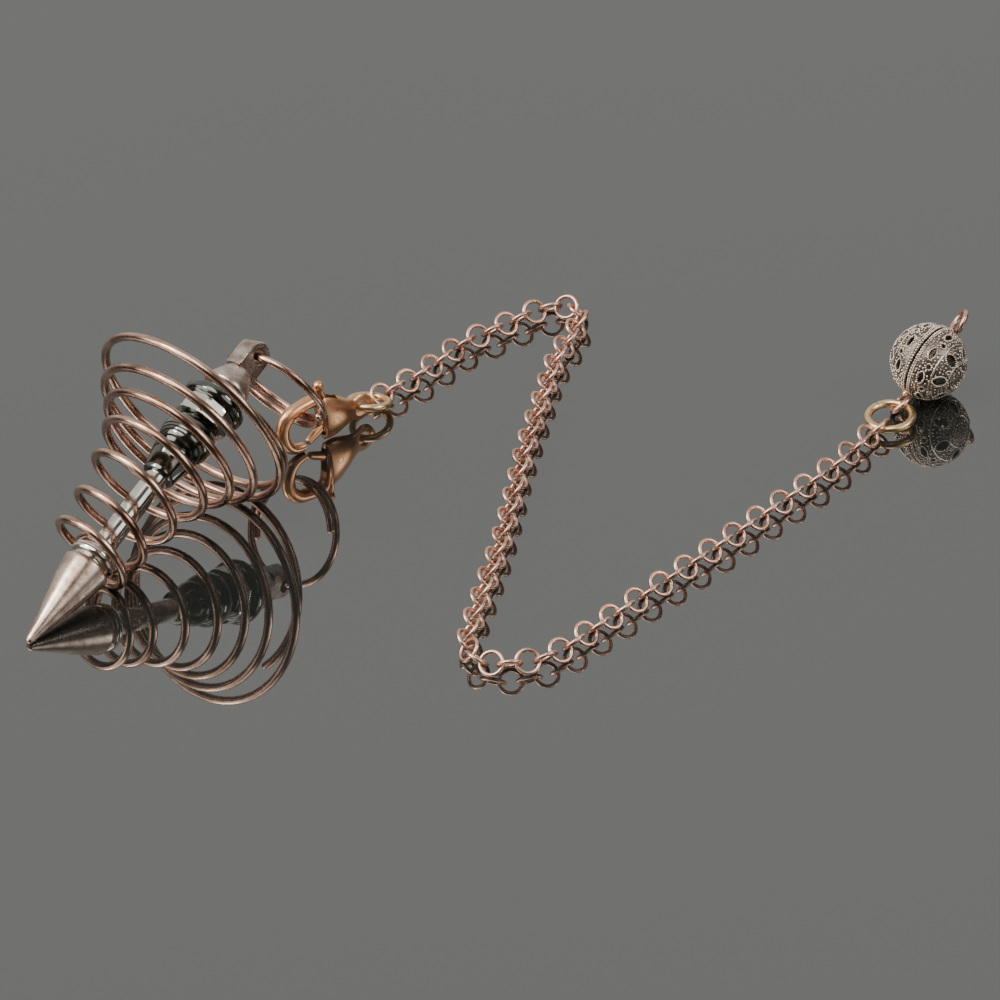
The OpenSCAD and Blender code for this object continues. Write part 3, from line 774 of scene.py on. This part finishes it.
def ball_filigree():
    """Granules all over the shell, finer ones round the piercings, rings of wire, and two beaded rims."""
    shape = Shape()
    outer = BALL_D / 2 - GRAIN_R * 1.1
    for side in (-1, 1):
        for count, middle, half, width, shift in PIERCINGS:
            for k in range(count):
                centre = 360 * (k + shift) / count
                loop = []
                for i in range(32):
                    angle = 360 * (i + 0.5) / 32
                    up, over = cos(angle), sin(angle)
                    polar = middle + (half + LOOP_ROOM) * abs(up) ** LOOP_POWER * (1 if up > 0 else -1)
                    off = (width + LOOP_ROOM) * abs(over) ** LOOP_POWER * (1 if over > 0 else -1)
                    loop.append(on_sphere(outer, side, polar, centre + off / sin(polar)))
                beaded(shape, loop, GRAIN_R * 0.75)
        polar = 3.0
        while polar < GRAIN_END:
            count = round(360 * sin(polar) / GRAIN_STEP)
            for k in range(count):
                turn = 360 * (k + random.uniform(-0.3, 0.3)) / count
                height = polar + random.uniform(-1.2, 1.2)
                if not pierced(height, turn, 1.4):
                    shape.ball(on_sphere(outer - random.uniform(0, 0.16), side, height, turn),
                               GRAIN_R * random.uniform(0.6, 1.1), 4, 6)
            polar += GRAIN_STEP * 0.95
        for polar, radius in RIMS:
            beaded(shape, around(BALL_D / 2 - radius * 1.1, side, polar), radius)
        for polar in WIRE_RINGS:
            shape.wire(around(outer - 0.02, side, polar), RING_R, 7, closed=True)
    piece = make("ball_filigree", shape, ON_SEAM, sharp=70)
    dress(piece, OLD_SILVER, "ball_silver", ROOT_BODY)


# Floor, light and camera

FLOOR_REACH = 6.0
# Soft patches of light in the room: direction, cosines where a patch starts and is full, and brightness.
# They are the broad one behind, the overhead one, the left one, the weak one at the right, and the room.
GLOWS = [((0, 0.82, 0.57), 0.3, 0.8, 0.66),
         ((-0.25, -0.3, 1), 0.89, 0.96, 3.8),
         ((-0.85, -0.2, 0.5), 0.89, 0.96, 3.4),
         ((0.7, -0.55, 0.5), 0.9, 0.97, 1.6),
         ((0, 0, 1), -0.6, 1.0, 0.07)]


def floor():
    """A plain polished floor, dark under its gloss."""
    m = Nodes("floor_gloss")
    soft = m.noise(2.5, detail=2)
    tone = m.mixed(m.spread(soft, 0.35, 0.65), colour(0.011, 0.0125, 0.0115), colour(0.0145, 0.016, 0.015))
    m.tree.links.new(tone, m.shader.inputs["Base Color"])
    m.shader.inputs["Roughness"].default_value = 0.6
    m.shader.inputs["Specular IOR Level"].default_value = 0.0
    m.shader.inputs["Coat Weight"].default_value = 1.0
    m.shader.inputs["Coat Roughness"].default_value = 0.015
    m.shader.inputs["Coat IOR"].default_value = 2.5
    mesh = bpy.data.meshes.new("floor")
    corners = [(FLOOR_REACH * x, FLOOR_REACH * y, 0) for x, y in ((-1, -1), (1, -1), (1, 1), (-1, 1))]
    mesh.from_pydata(corners, [], [(0, 1, 2, 3)])
    mesh.materials.append(m.material)
    ground = bpy.data.objects.new("floor", mesh)
    bpy.context.scene.collection.objects.link(ground)


def area_light(name, place, target, width, height, power, tint):
    lamp = bpy.data.lights.new(name, "AREA")
    lamp.shape = "RECTANGLE"
    lamp.size = width
    lamp.size_y = height
    lamp.energy = power
    lamp.color = tint
    holder = bpy.data.objects.new(name, lamp)
    holder.location = place
    holder.rotation_euler = (Vector(target) - Vector(place)).to_track_quat("-Z", "Y").to_euler()
    bpy.context.scene.collection.objects.link(holder)


def glow(tree, direction, toward, low, high, brightness):
    """A soft patch of light in the room round one direction."""
    dot = tree.nodes.new("ShaderNodeVectorMath")
    dot.operation = "DOT_PRODUCT"
    tree.links.new(direction, dot.inputs[0])
    dot.inputs[1].default_value = Vector(toward).normalized()
    patch = tree.nodes.new("ShaderNodeMapRange")
    patch.interpolation_type = "SMOOTHSTEP"
    patch.inputs["From Min"].default_value = low
    patch.inputs["From Max"].default_value = high
    patch.inputs["To Max"].default_value = brightness
    tree.links.new(dot.outputs["Value"], patch.inputs["Value"])
    return patch.outputs["Result"]


def lights():
    """A dim room with soft patches of light, and two small soft lamps."""
    world = bpy.data.worlds.new("soft_room")
    world.use_nodes = True
    bpy.context.scene.world = world
    tree = world.node_tree
    direction = tree.nodes.new("ShaderNodeTexCoord").outputs["Generated"]
    total = None
    for toward, low, high, brightness in GLOWS:
        patch = glow(tree, direction, toward, low, high, brightness)
        if total is None:
            total = patch
        else:
            add = tree.nodes.new("ShaderNodeMath")
            tree.links.new(total, add.inputs[0])
            tree.links.new(patch, add.inputs[1])
            total = add.outputs[0]
    tree.nodes["Background"].inputs["Color"].default_value = colour(1, 0.995, 0.96)
    tree.links.new(total, tree.nodes["Background"].inputs["Strength"])
    area_light("key", (-0.4, -0.05, 0.5), (-0.03, 0, 0.01), 0.16, 0.16, 1.6, (1, 0.98, 0.95))
    area_light("side", (0.5, -0.1, 0.35), (0, 0, 0.01), 0.12, 0.2, 0.8, (1, 0.97, 0.93))


# The photograph's view: focal length over the sensor, elevation, roll and distance
LENS, SENSOR, ELEVATION, ROLL, DISTANCE = 234.0, 36.0, 32.63, -5.33, 808.04


def camera():
    eye = bpy.data.cameras.new("camera")
    eye.lens = LENS
    eye.sensor_width = SENSOR
    eye.clip_start = 0.01
    holder = bpy.data.objects.new("camera", eye)
    ahead = Vector((0, cos(ELEVATION), -sin(ELEVATION)))
    right = Vector((1, 0, 0))
    up = right.cross(ahead)
    leaned_right = right * cos(ROLL) + up * sin(ROLL)
    leaned_up = up * cos(ROLL) - right * sin(ROLL)
    place = Vector((-ORIGIN[0], -ORIGIN[1], 0)) * MM - ahead * DISTANCE * MM
    matrix = Matrix((leaned_right, leaned_up, -ahead)).transposed().to_4x4()
    matrix.translation = place
    holder.matrix_world = matrix
    bpy.context.scene.collection.objects.link(holder)
    bpy.context.scene.camera = holder


camera()
tip()
collar()
bead_cap()
large_bead()
facet_bead()
disc()
head()
coil()
jump_ring()
clasp_body()
clasp_lever()
cut_ring("clasp_ring_wire", CLASP_RING_R, CLASP_RING_PLACE, 40, "clasp_ring")
chain()
cut_ring("end_ring_wire", END_RING_R, END_RING_PLACE, 120, "end_ring")
eye_pin()
ball_shell()
ball_filigree()
for node, material in (("rod", SILVER), ("clasp_pin", BRONZE)):
    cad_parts[node].data.materials.clear()
    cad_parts[node].data.materials.append(material)
floor()
lights()
